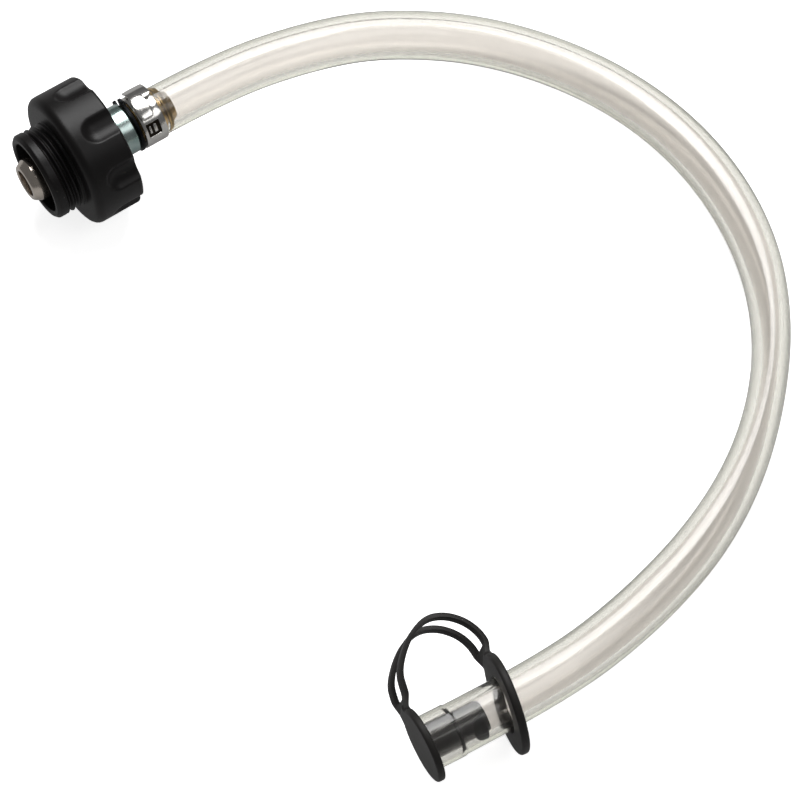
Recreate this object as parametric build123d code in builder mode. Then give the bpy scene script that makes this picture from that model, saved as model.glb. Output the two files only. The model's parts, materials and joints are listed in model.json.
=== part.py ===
from build123d import *

import os
from math import cos, pi, radians, sin, tan

# Clear transfer hose for gear oil. One end has a captive hand knob whose threaded spigot
# screws into a filler or drain port round a hollow nipple. The other end is closed by a
# rubber plug that hangs on its own strap from a ring on the hose.
#
# Millimetres, +Z up. The fitting lies along +X with the knob's rim on the surface, and the
# origin is under the middle of the fitting. The hose leaves it towards +X and turns back
# clockwise over the surface.

# ---------------------------------------------------------------- driving dimensions

# Small sizes that many pieces share
touch_gap = 0.02
play = 0.05
lead_in = 0.6

# Stations are distances along the fitting, from the nipple's front face.
fitting_length = 60.0
knob_radius = 25.0
spigot_front = 4.0
knob_front = 15.0
web_front = 19.0
web_rear = 31.0
knob_rear = 34.0
collar_rear = 42.9
clip_front = 43.05
clip_thickness = 1.1
hose_start = 45.0
clamp_rear = 53.8

# Hand knob with its spigot
thread_radius = 16.6
thread_root_radius = 15.1
spigot_bore_radius = 13.4
knob_edge_round = 2.6
knob_rear_round = 1.4
lobe_count = 8
scoop_radius = 7.0
scoop_depth = 2.4
scoop_front = 21.3
recess_radius = 10.2

# Stem, nipple and seals
stem_radius = 8.0
running_clearance = 0.06
stem_bore_radius = 4.0
shank_radius = 5.98
shank_front = 10.2
nipple_bore_radius = 5.0
nipple_rear = 18.0
nipple_flange_front = 15.0
nipple_flange_radius = 11.0
barb_radius = 6.6
barb_root_radius = 5.9
barb_pitch = 4.0
barb_count = 3
washer_thickness = 0.9
collar_radius = 9.4
clip_radius = 9.9
clip_groove_radius = 7.3

# Hose
hose_radius = 9.0
hose_bore_radius = 6.0
rest_height = hose_radius + play
arc_share = 0.45

# Clamp
clamp_thickness = 0.9
pillow_height = 1.5
pillow_width = 5.2
pillow_half_angle = 35.5
window_width = 5.0
window_half_angle = 21.0
window_middle = 148.0

# Plug, strap and retaining ring
plug_height = 17.1
plug_heading = 173.25
last_run = 42.6
plug_radius = 5.94
plug_tip_radius = 5.0
plug_depth = 20.0
plug_step = 9.4
disc_radius = 12.5
disc_gap = 0.1
disc_thickness = 2.5
tab_reach = 13.6
ring_radius = 17.0
ring_hole_radius = 9.5
ring_thickness = 2.8
ring_distance = 28.6
ring_lean = 7.0
strap_width = 9.3
strap_slot_width = 5.0
strap_thickness = 1.7

# ---------------------------------------------------------------- frame of the fitting

fitting_start = -fitting_length / 2
axis_height = knob_radius
clip_rear = clip_front + clip_thickness
fitting_axis = Axis((fitting_start, 0, axis_height), (1, 0, 0))
# Section plane: local x is the station, local y is the radius, drawn upwards.
fitting_section = Plane(origin=(fitting_start, 0, axis_height), x_dir=(1, 0, 0), z_dir=(0, -1, 0))


def across(station):
    """Plane square to the fitting's axis, its x towards +Y and its y towards +Z."""
    return Plane(origin=(fitting_start + station, 0, axis_height), x_dir=(0, 1, 0), z_dir=(1, 0, 0))


def turn(points, mode=Mode.ADD):
    """Turn a closed outline of (station, radius) points about the fitting's axis."""
    with BuildSketch(fitting_section) as outline:
        with BuildLine():
            Polyline(*points, close=True)
        make_face()
    revolve(outline.sketch, axis=fitting_axis, mode=mode)


def sector(plane, inner, outer, middle, half_angle):
    """Face of a ring's sector on a plane, centred on the angle called middle."""
    with BuildSketch(plane) as face:
        with BuildLine():
            low = CenterArc((0, 0), outer, middle - half_angle, 2 * half_angle)
            high = CenterArc((0, 0), inner, middle - half_angle, 2 * half_angle)
            Line(low @ 0, high @ 0)
            Line(low @ 1, high @ 1)
        make_face()
    return face.sketch


def save(part, name):
    """Label a finished piece and write it to its own file."""
    part.label = name
    export_step(part, f"parts/{name}.step")


os.makedirs("parts", exist_ok=True)

# ---------------------------------------------------------------- hand knob and spigot

bore_radius = stem_radius + running_clearance
spigot_chamfer = thread_radius - thread_root_radius
web_floor_round = 2.0
scoop_centre = knob_radius - scoop_depth + scoop_radius
scoop_end_reach = (scoop_radius**2 - (scoop_radius - scoop_depth) ** 2) ** 0.5
scoop_ball = scoop_front + scoop_end_reach
scoop_overrun = 1.0
scoop_length = knob_rear - scoop_ball + scoop_overrun

with BuildPart() as hand_knob:
    turn(
        [
            (spigot_front, spigot_bore_radius + lead_in),
            (spigot_front, thread_root_radius),
            (spigot_front + spigot_chamfer, thread_radius),
            (knob_front, thread_radius),
            (knob_front, knob_radius),
            (knob_rear, knob_radius),
            (knob_rear, recess_radius),
            (web_rear, recess_radius),
            (web_rear, bore_radius),
            (web_front, bore_radius),
            (web_front, spigot_bore_radius - web_floor_round),
            (web_front - web_floor_round, spigot_bore_radius),
            (spigot_front + lead_in, spigot_bore_radius),
        ]
    )
    rims = hand_knob.edges().filter_by(GeomType.CIRCLE).group_by(SortBy.RADIUS)[-1]
    fillet(rims.sort_by(Axis.X)[0], knob_edge_round)
    rims = hand_knob.edges().filter_by(GeomType.CIRCLE).group_by(SortBy.RADIUS)[-1]
    fillet(rims.sort_by(Axis.X)[-1], knob_rear_round)
    with Locations(across(scoop_ball)):
        with PolarLocations(scoop_centre, lobe_count, start_angle=180 / lobe_count):
            Sphere(scoop_radius, mode=Mode.SUBTRACT)
            Cylinder(
                scoop_radius,
                scoop_length,
                align=(Align.CENTER, Align.CENTER, Align.MIN),
                mode=Mode.SUBTRACT,
            )
save(hand_knob.part, "hand_knob")

# ---------------------------------------------------------------- nipple and its seals

nipple_groove = 9.4
nipple_groove_width = 1.9
nipple_groove_radius = 7.1
seal_section = 0.85
pocket_depth = 1.4
pocket_radius = 7.6
joint_seal_radius = 6.8
joint_seal_section = 0.66
nose_face_radius = 6.8
nose_rounding = [(0.35, 7.5), (1.2, stem_radius)]
shank_seat = shank_front - 0.2
shank_fit_radius = shank_radius + 0.04
flange_overlap = 0.2

with BuildPart() as nipple:
    turn(
        [
            (0.0, nipple_bore_radius + lead_in),
            (0.0, nose_face_radius),
            *nose_rounding,
            (nipple_groove, stem_radius),
            (nipple_groove, nipple_groove_radius),
            (nipple_groove + nipple_groove_width, nipple_groove_radius),
            (nipple_groove + nipple_groove_width, stem_radius),
            (nipple_rear, stem_radius),
            (nipple_rear, pocket_radius),
            (nipple_rear - pocket_depth, pocket_radius),
            (nipple_rear - pocket_depth, shank_fit_radius),
            (shank_seat, shank_fit_radius),
            (shank_seat, nipple_bore_radius),
            (lead_in, nipple_bore_radius),
        ]
    )
    with BuildSketch(across(nipple_flange_front)):
        RegularPolygon(nipple_flange_radius, 6)
        Circle(stem_radius - flange_overlap, mode=Mode.SUBTRACT)
    extrude(amount=nipple_rear - nipple_flange_front)
save(nipple.part, "nipple")

with BuildPart() as nipple_o_ring:
    with Locations(across(nipple_groove + nipple_groove_width / 2)):
        Torus(nipple_groove_radius + touch_gap + seal_section, seal_section)
save(nipple_o_ring.part, "nipple_o_ring")

with BuildPart() as joint_o_ring:
    with Locations(across(nipple_rear - pocket_depth / 2)):
        Torus(joint_seal_radius, joint_seal_section)
save(joint_o_ring.part, "joint_o_ring")

# ---------------------------------------------------------------- barbed hose tail

stem_groove = 24.0
stem_groove_width = 2.4
stem_groove_radius = 6.0
stem_seal_stand = 0.03
stem_seal_section = (stem_radius + stem_seal_stand - stem_groove_radius - touch_gap) / 2
barb_start = fitting_length - barb_count * barb_pitch
barb_tip_radius = 5.0
barb_land = 0.4

tail_outline = [
    (shank_front, stem_bore_radius),
    (shank_front, shank_radius - lead_in),
    (shank_front + lead_in, shank_radius),
    (nipple_rear + touch_gap, shank_radius),
    (nipple_rear + touch_gap, stem_radius),
    (stem_groove, stem_radius),
    (stem_groove, stem_groove_radius),
    (stem_groove + stem_groove_width, stem_groove_radius),
    (stem_groove + stem_groove_width, stem_radius),
    (clip_front - play, stem_radius),
    (clip_front - play, clip_groove_radius),
    (clip_rear + play, clip_groove_radius),
    (clip_rear + play, stem_radius),
    (hose_start - touch_gap, stem_radius),
    (hose_start - touch_gap, barb_root_radius),
    (barb_start, barb_root_radius),
]
for barb in range(barb_count):
    front = barb_start + barb * barb_pitch
    last = barb == barb_count - 1
    tail_outline.append((front, barb_radius))
    tail_outline.append((front + barb_land, barb_radius))
    tail_outline.append((front + barb_pitch, barb_tip_radius if last else barb_root_radius))
tail_outline.append((fitting_length, stem_bore_radius))

with BuildPart() as hose_tail:
    turn(tail_outline)
save(hose_tail.part, "hose_tail")

with BuildPart() as stem_o_ring:
    with Locations(across(stem_groove + stem_groove_width / 2)):
        Torus(stem_groove_radius + touch_gap + stem_seal_section, stem_seal_section)
save(stem_o_ring.part, "stem_o_ring")

# ---------------------------------------------------------------- washers, collar and clip

front_washer_radius = recess_radius + 0.8
rear_washer_radius = recess_radius - 0.2

def washer(front, outer):
    """Flat slip washer on the stem."""
    turn(
        [
            (front, bore_radius),
            (front, outer),
            (front + washer_thickness, outer),
            (front + washer_thickness, bore_radius),
        ]
    )


with BuildPart() as front_slip_washer:
    washer(nipple_rear + play, front_washer_radius)
save(front_slip_washer.part, "front_slip_washer")

with BuildPart() as rear_slip_washer:
    washer(web_rear + play, rear_washer_radius)
save(rear_slip_washer.part, "rear_slip_washer")

collar_front = web_rear + washer_thickness + 2 * play
collar_bevel = 0.9

with BuildPart() as collar:
    turn(
        [
            (collar_front, stem_radius + touch_gap),
            (collar_front, collar_radius),
            (collar_rear - collar_bevel, collar_radius),
            (collar_rear, collar_radius - collar_bevel / 2),
            (collar_rear, stem_radius + touch_gap),
        ]
    )
save(collar.part, "collar")

clip_gap_middle = 35.0
clip_gap_half_angle = 17.0
lug_radius = 1.7
lug_hole_radius = 0.6
lug_angle = 24.0
lug_reach = 9.6
lug_places = PolarLocations(lug_reach, 2, clip_gap_middle - lug_angle, 2 * lug_angle, endpoint=True)
gap_overrun = 1.0

with BuildPart() as retaining_clip:
    with BuildSketch(across(clip_front)):
        Circle(clip_radius)
        with lug_places:
            Circle(lug_radius)
        Circle(clip_groove_radius + play, mode=Mode.SUBTRACT)
        with lug_places:
            Circle(lug_hole_radius, mode=Mode.SUBTRACT)
        add(
            sector(
                Plane.XY,
                clip_groove_radius - gap_overrun,
                clip_radius + gap_overrun,
                clip_gap_middle,
                clip_gap_half_angle,
            ),
            mode=Mode.SUBTRACT,
        )
    extrude(amount=clip_thickness)
save(retaining_clip.part, "retaining_clip")

# ---------------------------------------------------------------- hose clamp

clamp_outer = hose_radius + clamp_thickness
clamp_front = hose_start
clamp_middle = (clamp_front + clamp_rear) / 2
clamp_edge = 0.2
pillow_shift = -0.5
pillow_front = clamp_middle - pillow_width / 2 + pillow_shift
pillow_root = hose_radius + clamp_thickness / 3
window_shift = 0.3
window_front = clamp_middle - window_width / 2 + window_shift
window_depth = 0.55
window_overrun = 1.0
hook_width = 2.0
hook_shift = 0.6
hook_front = clamp_middle - hook_width / 2 + hook_shift
hook_root = clamp_outer - window_depth - 0.1
hook_half_angle = 8.0

with BuildPart() as hose_clamp:
    turn(
        [
            (clamp_front, hose_radius),
            (clamp_front, clamp_outer - clamp_edge),
            (clamp_front + clamp_edge, clamp_outer),
            (clamp_rear - clamp_edge, clamp_outer),
            (clamp_rear, clamp_outer - clamp_edge),
            (clamp_rear, hose_radius),
        ]
    )
    window = sector(
        across(window_front),
        clamp_outer - window_depth,
        clamp_outer + window_overrun,
        window_middle,
        window_half_angle,
    )
    extrude(window, amount=window_width, mode=Mode.SUBTRACT)
    hook = sector(
        across(hook_front),
        hook_root,
        clamp_outer,
        window_middle - window_half_angle / 3,
        hook_half_angle,
    )
    extrude(hook, amount=hook_width)
    pillow = sector(
        across(pillow_front),
        pillow_root,
        clamp_outer + pillow_height,
        90,
        pillow_half_angle,
    )
    extrude(pillow, amount=pillow_width)
save(hose_clamp.part, "hose_clamp")

# ---------------------------------------------------------------- hose

heading = Vector(cos(radians(plug_heading)), sin(radians(plug_heading)), 0)
hose_end = Vector(-32.0, -250.4, plug_height)
hose_beginning = Vector(fitting_start + hose_start, 0, axis_height)

route = [
    hose_beginning,
    Vector(50, 0, axis_height),
    Vector(85, -6, 24),
    Vector(114.5, -14.5, 19.5),
    Vector(148, -36, 13),
    Vector(173, -72, rest_height),
    Vector(182, -114, rest_height),
    Vector(176, -156, rest_height),
    Vector(157, -192, rest_height),
    Vector(127, -221.5, rest_height),
    Vector(93, -240.5, rest_height),
    Vector(52, -251.5, 12.5),
    hose_end - heading * last_run,
    hose_end,
]
bend_radii = []
for before, corner, after in zip(route, route[1:], route[2:]):
    arriving = corner - before
    leaving = after - corner
    half_turn = radians(arriving.get_angle(leaving)) / 2
    bend_radii.append(arc_share * min(arriving.length, leaving.length) / tan(half_turn))
print("bend radii:", [round(radius, 1) for radius in bend_radii])

with BuildPart() as hose:
    with BuildLine() as centreline:
        FilletPolyline(*route, radius=bend_radii)
    with BuildSketch(Plane(origin=hose_beginning, z_dir=(1, 0, 0))):
        Circle(hose_radius)
        Circle(hose_bore_radius, mode=Mode.SUBTRACT)
    sweep(path=centreline.wires()[0])
save(hose.part, "hose")

hose_length = centreline.wires()[0].length
hose_section = pi * (hose_radius**2 - hose_bore_radius**2)
print("hose length:", round(hose_length, 1))
print("hose volume:", round(hose.part.volume, 1))
print("section x length:", round(hose_section * hose_length, 1))

# ---------------------------------------------------------------- plug

# Local x is up, local z leaves the hose's end.
plug_plane = Plane(origin=hose_end, x_dir=(0, 0, 1), z_dir=heading)
plug_axis = Axis(hose_end, heading)
# Level plane through the plug's axis: local x leaves the hose's end, local y is the far side.
strap_plane = Plane(origin=hose_end, x_dir=heading, z_dir=(0, 0, -1))
disc_face = disc_gap + disc_thickness
disc_edge = 0.5
step_height = 0.35
step_length = 0.5
tip_taper = 1.5

with BuildPart() as end_plug:
    with BuildSketch(strap_plane) as plug_outline:
        with BuildLine():
            Polyline(
                (disc_face, 0),
                (disc_face, disc_radius - disc_edge),
                (disc_face - disc_edge, disc_radius),
                (disc_gap + disc_edge, disc_radius),
                (disc_gap, disc_radius - disc_edge),
                (disc_gap, plug_radius),
                (-plug_step, plug_radius),
                (-plug_step - step_length, plug_radius - step_height),
                (-plug_depth + tip_taper, plug_radius - step_height),
                (-plug_depth, plug_tip_radius),
                (-plug_depth, 0),
                close=True,
            )
        make_face()
    revolve(axis=plug_axis)
    with BuildSketch(plug_plane.offset(disc_gap)):
        with Locations((0, tab_reach / 2)):
            Rectangle(strap_width, tab_reach)
    extrude(amount=disc_thickness)
save(end_plug.part, "end_plug")

# ---------------------------------------------------------------- retaining ring and strap

ring_normal = heading * cos(radians(ring_lean)) + plug_plane.y_dir * sin(radians(ring_lean))
ring_plane = Plane(
    origin=hose_end - heading * ring_distance,
    x_dir=(0, 0, 1),
    z_dir=ring_normal,
)

with BuildPart() as retaining_ring:
    with BuildSketch(ring_plane.offset(-ring_thickness / 2)):
        Circle(ring_radius)
        with Locations((0, ring_radius / 2)):
            Rectangle(strap_width, ring_radius)
        Circle(ring_hole_radius, mode=Mode.SUBTRACT)
    extrude(amount=ring_thickness)
save(retaining_ring.part, "retaining_ring")

# Reach of the belt's middle line from the plug's axis, first at the disc and last at the ring
disc_middle = disc_gap + disc_thickness / 2
strap_bends = [(disc_middle, 24.0), (-12.0, 37.0), (-25.0, 37.0), (-31.4, 27.5)]
strap_corners = [(disc_middle, tab_reach), *strap_bends, (-30.6, 16.2)]
strap_radii = [18.0, 14.0, 9.5, 16.0]
slot_corners = [(disc_middle, 16.1), *strap_bends, (-31.0, 22.0)]
slot_radii = [18.0, 14.0, 9.5, 15.0]
slot_thickness = strap_thickness + 0.4


def belt(corners, radii, thickness):
    """Edge view of a belt that follows rounded corners in the strap's plane."""
    with BuildSketch(strap_plane) as edge_view:
        with BuildLine():
            FilletPolyline(*corners, radius=radii)
        trace(line_width=thickness)
    return edge_view.sketch


with BuildPart() as plug_strap:
    extrude(belt(strap_corners, strap_radii, strap_thickness), amount=strap_width / 2, both=True)
    extrude(
        belt(slot_corners, slot_radii, slot_thickness),
        amount=strap_slot_width / 2,
        both=True,
        mode=Mode.SUBTRACT,
    )
save(plug_strap.part, "plug_strap")
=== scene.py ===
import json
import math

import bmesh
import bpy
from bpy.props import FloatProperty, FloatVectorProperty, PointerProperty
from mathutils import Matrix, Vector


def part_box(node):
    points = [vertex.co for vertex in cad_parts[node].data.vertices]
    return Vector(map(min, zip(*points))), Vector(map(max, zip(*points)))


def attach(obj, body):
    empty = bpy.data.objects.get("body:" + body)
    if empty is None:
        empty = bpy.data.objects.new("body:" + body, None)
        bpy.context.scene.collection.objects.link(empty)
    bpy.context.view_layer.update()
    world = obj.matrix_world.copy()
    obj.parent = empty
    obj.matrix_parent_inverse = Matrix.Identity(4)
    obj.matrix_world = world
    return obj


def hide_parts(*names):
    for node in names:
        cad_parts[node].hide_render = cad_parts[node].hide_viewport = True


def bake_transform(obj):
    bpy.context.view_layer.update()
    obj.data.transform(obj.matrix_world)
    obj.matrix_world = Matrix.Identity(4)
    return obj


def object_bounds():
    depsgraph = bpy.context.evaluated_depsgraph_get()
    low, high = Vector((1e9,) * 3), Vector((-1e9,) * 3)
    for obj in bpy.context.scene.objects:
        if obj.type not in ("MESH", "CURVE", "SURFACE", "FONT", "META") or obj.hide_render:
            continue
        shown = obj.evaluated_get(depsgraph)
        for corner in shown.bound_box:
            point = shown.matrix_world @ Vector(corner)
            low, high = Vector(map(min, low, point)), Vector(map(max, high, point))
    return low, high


bl_info = {
    "name": "Clear oil transfer hose",
    "version": (1, 0, 0),
    "blender": (4, 5, 0),
    "location": "View3D > Sidebar > Transfer hose",
    "description": "Visual pieces of a clear hose with a captive hand knob and a tethered plug",
    "category": "Object",
}

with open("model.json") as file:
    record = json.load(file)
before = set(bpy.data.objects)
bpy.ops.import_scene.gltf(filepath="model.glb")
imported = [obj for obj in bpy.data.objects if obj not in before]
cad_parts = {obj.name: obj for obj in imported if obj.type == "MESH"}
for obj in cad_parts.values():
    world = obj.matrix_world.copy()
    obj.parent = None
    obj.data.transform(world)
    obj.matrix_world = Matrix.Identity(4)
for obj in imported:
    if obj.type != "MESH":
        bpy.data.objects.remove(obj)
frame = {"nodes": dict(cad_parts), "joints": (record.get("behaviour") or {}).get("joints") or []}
CAD_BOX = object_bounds()

# ---------------------------------------------------------------- places read from the frame

MM = 0.001

# Profiles are drawn in millimetres, as (station, radius): the fitting's stations run from the
# nipple's front face, and the plug's run into the hose from its end.
NIPPLE_LOW, NIPPLE_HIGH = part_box("nipple")
KNOB_LOW, KNOB_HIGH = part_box("hand_knob")
COLLAR_LOW, COLLAR_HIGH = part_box("collar")
CLAMP_LOW, CLAMP_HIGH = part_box("hose_clamp")
CLIP_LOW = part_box("retaining_clip")[0]
TAIL_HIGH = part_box("hose_tail")[1]
JOINTS = {joint["name"]: joint for joint in frame["joints"]}

FITTING_AXIS = Vector(JOINTS["knob_spin"]["pos_m"])
FITTING = Matrix.Translation((NIPPLE_LOW.x, 0, FITTING_AXIS.z))

HOSE_END = Vector(JOINTS["plug_turn"]["pos_m"])
HEADING = Vector(JOINTS["plug_pull"]["axis"])
UP = Vector((0, 0, 1))
# Local x runs into the hose, y to the side where the strap lies, and z up.
PLUG_END = Matrix.Translation(HOSE_END) @ Matrix((-HEADING, HEADING.cross(UP), UP)).transposed().to_4x4()


def in_mm(metres):
    """A length of the frame or of the settings, in millimetres."""
    return metres / MM


def station(x):
    """Distance in millimetres along the fitting from the nipple's front face."""
    return in_mm(x - NIPPLE_LOW.x)


def linear(code):
    """Linear red, green, blue and alpha of an sRGB hex colour."""
    shares = [int(code[i : i + 2], 16) / 255 for i in (1, 3, 5)]
    return [c / 12.92 if c <= 0.04045 else ((c + 0.055) / 1.055) ** 2.4 for c in shares] + [1.0]


def length_setting(name, millimetres, description):
    """A length that a user may change."""
    return FloatProperty(
        name=name, description=description, default=millimetres * MM, unit="LENGTH", precision=4
    )


def colour_setting(name, code, description):
    """A colour that a user may change."""
    return FloatVectorProperty(
        name=name, description=description, default=linear(code), size=4, min=0, max=1, subtype="COLOR"
    )


# ---------------------------------------------------------------- settings


class FittingSettings(bpy.types.PropertyGroup):
    """Hand knob, nipple, collar, clamp and tail"""

    thread_pitch: length_setting("Thread pitch", 2.309, "Distance between two crests of the spigot's thread")
    thread_depth: length_setting("Thread depth", 1.3, "Height of the thread's crests over its roots")
    scoop_radius: length_setting("Scoop radius", 7.0, "Radius of the finger scoops round the knob")
    scoop_depth: length_setting("Scoop depth", 2.4, "How deep a finger scoop is cut into the knob")
    scoop_edge: length_setting("Scoop edge", 0.5, "Width over which a scoop's edge is rounded")
    knob_colour: colour_setting("Knob", "#0E0C0C", "Colour of the knob's plastic")
    nickel_colour: colour_setting("Nickel", "#D9CFC4", "Colour of the nipple's plating")
    zinc_colour: colour_setting("Zinc", "#D3DCDA", "Colour of the collar's passivated zinc")
    clamp_colour: colour_setting("Clamp steel", "#DAD8D4", "Colour of the clamp's steel strip")
    brass_colour: colour_setting("Brass", "#A98F62", "Colour of the barbed tail")


class HoseSettings(bpy.types.PropertyGroup):
    """Clear hose"""

    radius: length_setting("Outer radius", 9.0, "Half of the hose's outer diameter")
    wall: length_setting("Wall", 3.0, "Thickness of the hose's wall")
    swell: length_setting("Swell", 0.3, "How far the plug's thick half swells the hose")
    flat_place: length_setting("Flat place", 332.0, "Distance along the hose to where its bend flattens it most")
    flat_reach: length_setting("Flat reach", 58.0, "How far the flattening spreads to each side")
    narrowing: FloatProperty(
        name="Narrowing", description="Share of its width that the bend takes off the hose", default=0.28, min=0, max=1
    )
    heightening: FloatProperty(
        name="Heightening", description="Share of its height that the bend adds", default=0.2, min=0, max=1
    )
    pvc_colour: colour_setting("PVC", "#EBE7E5", "Colour of the hose's haze")
    pvc_tint: colour_setting("PVC tint", "#DADCD6", "Colour that light takes on in the wall")


class PlugSettings(bpy.types.PropertyGroup):
    """Plug, strap and ring"""

    disc_radius: length_setting("Disc radius", 12.5, "Radius of the plug's head")
    ring_radius: length_setting("Ring radius", 17.0, "Outer radius of the ring on the hose")
    tab_width: length_setting("Strap width", 9.3, "Width of the strap and of the tabs that it grows from")
    strap_thickness: length_setting("Strap thickness", 1.7, "Thickness of the strap")
    slot_width: length_setting("Slot width", 5.0, "Width of the slot between the strap's two strands")
    rubber_colour: colour_setting("Rubber", "#1D1B1A", "Colour of the plug, strap and ring")


class StageSettings(bpy.types.PropertyGroup):
    """Floor, lights and camera"""

    distance: length_setting("Camera distance", 880.0, "From the camera to the point that it looks at")
    elevation: FloatProperty(
        name="Elevation", description="Camera's height over the horizon", default=math.radians(61), subtype="ANGLE"
    )
    heading: FloatProperty(
        name="Heading", description="Camera's turn about the vertical", default=math.radians(-34.75), subtype="ANGLE"
    )
    lens: FloatProperty(name="Lens", description="Focal length in millimetres", default=113.85, subtype="NONE")
    floor_colour: colour_setting("Floor", "#FAFAFA", "Colour of the floor")
    key_power: FloatProperty(name="Key light", description="Power of the main softbox", default=14.0, unit="POWER")
    sky: FloatProperty(name="Room light", description="Strength of the even light from all sides", default=0.14)
    table: FloatProperty(name="Table light", description="Light that the floor gives itself", default=0.85)


GROUPS = {
    "hose_fitting": FittingSettings,
    "hose_tube": HoseSettings,
    "hose_plug": PlugSettings,
    "hose_stage": StageSettings,
}

# ---------------------------------------------------------------- modelling


def rounded(corners, spacing, arc_steps=5):
    """Points of a closed outline of (station, radius, rounding) corners. A corner on the axis opens it there.
    A fourth number is the spacing of the points on the run that follows the corner."""
    arcs = []
    for i, corner in enumerate(corners):
        place, rounding = Vector(corner[:2]), corner[2]
        back = (Vector(corners[i - 1][:2]) - place).normalized()
        ahead = (Vector(corners[(i + 1) % len(corners)][:2]) - place).normalized()
        if rounding > 0:
            half = back.angle(ahead) / 2
            reach = rounding / math.tan(half)
            middle = place + (back + ahead).normalized() * rounding / math.sin(half)
            start = place + back * reach - middle
            turn = -start.angle_signed(place + ahead * reach - middle)
            arcs.append([middle + Matrix.Rotation(turn * k / arc_steps, 2) @ start for k in range(arc_steps + 1)])
        else:
            arcs.append([place])
    points = []
    for corner, arc, following in zip(corners, arcs, arcs[1:] + arcs[:1]):
        points += arc
        if following is arcs[0] and corners[0][1] == 0:
            break
        gap = following[0] - arc[-1]
        rows = max(1, round(gap.length / (corner[3] if len(corner) > 3 else spacing)))
        points += [arc[-1] + gap * k / rows for k in range(1, rows)]
    return points


def turned(corners, steps=128, spacing=3.0, bm=None):
    """Turn an outline about the local X axis, in millimetres."""
    bm = bm or bmesh.new()
    verts = [bm.verts.new((x, r, 0)) for x, r in rounded(corners, spacing)]
    edges = [bm.edges.new(pair) for pair in zip(verts, verts[1:])]
    if corners[0][1] > 0:
        edges.append(bm.edges.new((verts[-1], verts[0])))
    bmesh.ops.spin(
        bm, geom=verts + edges, axis=(1, 0, 0), cent=(0, 0, 0), steps=steps, angle=math.tau, use_merge=True
    )
    bmesh.ops.remove_doubles(bm, verts=bm.verts, dist=0.0005)
    bmesh.ops.recalc_face_normals(bm, faces=bm.faces)
    return bm


def thicken(bm, thickness):
    """Give a sheet its wall, with its faces pointing outwards before and after."""
    bmesh.ops.recalc_face_normals(bm, faces=bm.faces)
    bmesh.ops.solidify(bm, geom=bm.faces, thickness=thickness)
    bmesh.ops.recalc_face_normals(bm, faces=bm.faces)


def soften(bm, width, sharpest=math.radians(35), segments=2):
    """Round every edge that is sharper than an angle."""
    sharp = [e for e in bm.edges if e.is_manifold and e.calc_face_angle() > sharpest]
    bmesh.ops.bevel(
        bm,
        geom=sharp,
        offset=width,
        offset_type="OFFSET",
        segments=segments,
        profile=0.5,
        affect="EDGES",
        clamp_overlap=True,
        material=-1,
    )


def smooth_least(a, b, width):
    """The smaller of two lengths, blended over a width where they cross."""
    overlap = max(width - abs(a - b), 0) / width
    return min(a, b) - overlap * overlap * width / 4


def smooth_step(value, low, high):
    """0 below low and 1 above high, with an even start and end."""
    share = min(max((value - low) / (high - low), 0), 1)
    return share * share * (3 - 2 * share)


def make_piece(bm, name, place, material, smooth_angle=40):
    """Write a bmesh, drawn in millimetres in a local frame, to a new object at its place."""
    bmesh.ops.transform(bm, matrix=place @ Matrix.Scale(MM, 4), verts=bm.verts)
    mesh = bpy.data.meshes.new(name)
    bm.to_mesh(mesh)
    bm.free()
    mesh.shade_smooth()
    mesh.set_sharp_from_angle(angle=math.radians(smooth_angle))
    mesh.materials.append(material)
    piece = bpy.data.objects.new(name, mesh)
    bpy.context.collection.objects.link(piece)
    return piece


def spline_points(route, name):
    """Points along the smooth line of a route, read from its NURBS spline."""
    curve = bpy.data.curves.new(name, "CURVE")
    curve.dimensions = "3D"
    curve.resolution_u = 24
    spline = curve.splines.new("NURBS")
    spline.points.add(len(route) - 1)
    for point, place in zip(spline.points, route):
        point.co = (*place, 1)
    spline.order_u = 3
    spline.use_endpoint_u = True
    holder = bpy.data.objects.new(name, curve)
    bpy.context.collection.objects.link(holder)
    mesh = bpy.data.meshes.new_from_object(holder)
    points = [vert.co.copy() for vert in mesh.vertices]
    bpy.data.objects.remove(holder)
    bpy.data.curves.remove(curve)
    bpy.data.meshes.remove(mesh)
    return points


class Line:
    """A smooth line that can be walked by its length"""

    def __init__(self, points):
        self.points = points
        self.marks = [0.0]
        for before, after in zip(points, points[1:]):
            self.marks.append(self.marks[-1] + (after - before).length)
        self.length = self.marks[-1]

    def at(self, distance):
        """The point at a distance along the line, and the line's direction there."""
        distance = min(max(distance, 0), self.length)
        low, high = 0, len(self.marks) - 1
        while high - low > 1:
            middle = (low + high) // 2
            if self.marks[middle] <= distance:
                low = middle
            else:
                high = middle
        share = (distance - self.marks[low]) / (self.marks[high] - self.marks[low])
        before = self.points[low] - self.points[max(low - 1, 0)]
        run = self.points[high] - self.points[low]
        after = self.points[min(high + 1, len(self.points) - 1)] - self.points[high]
        start = (before.normalized() + run.normalized()).normalized()
        end = (after.normalized() + run.normalized()).normalized()
        return self.points[low] + run * share, start.lerp(end, share).normalized()


# ---------------------------------------------------------------- materials


def add_node(tree, kind, inputs=None, **settings):
    """Add a node with its settings. An input is a value, or a socket to link it to."""
    node = tree.nodes.new(kind)
    for name, value in settings.items():
        setattr(node, name, value)
    for socket, value in (inputs or {}).items():
        if isinstance(value, bpy.types.NodeSocket):
            tree.links.new(value, node.inputs[socket])
        else:
            node.inputs[socket].default_value = value
    return node


def new_material(name):
    """An empty node tree for a material, and the material."""
    material = bpy.data.materials.new(name)
    material.use_nodes = True
    material.node_tree.nodes.clear()
    return material, material.node_tree


def per(millimetres):
    """Texture scale that gives one feature in each so many millimetres."""
    return 1 / (millimetres * MM)


def shade(colour, factor):
    """A lighter or darker version of a linear colour."""
    return [min(c * factor, 1) for c in colour[:3]] + [1.0]


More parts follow.
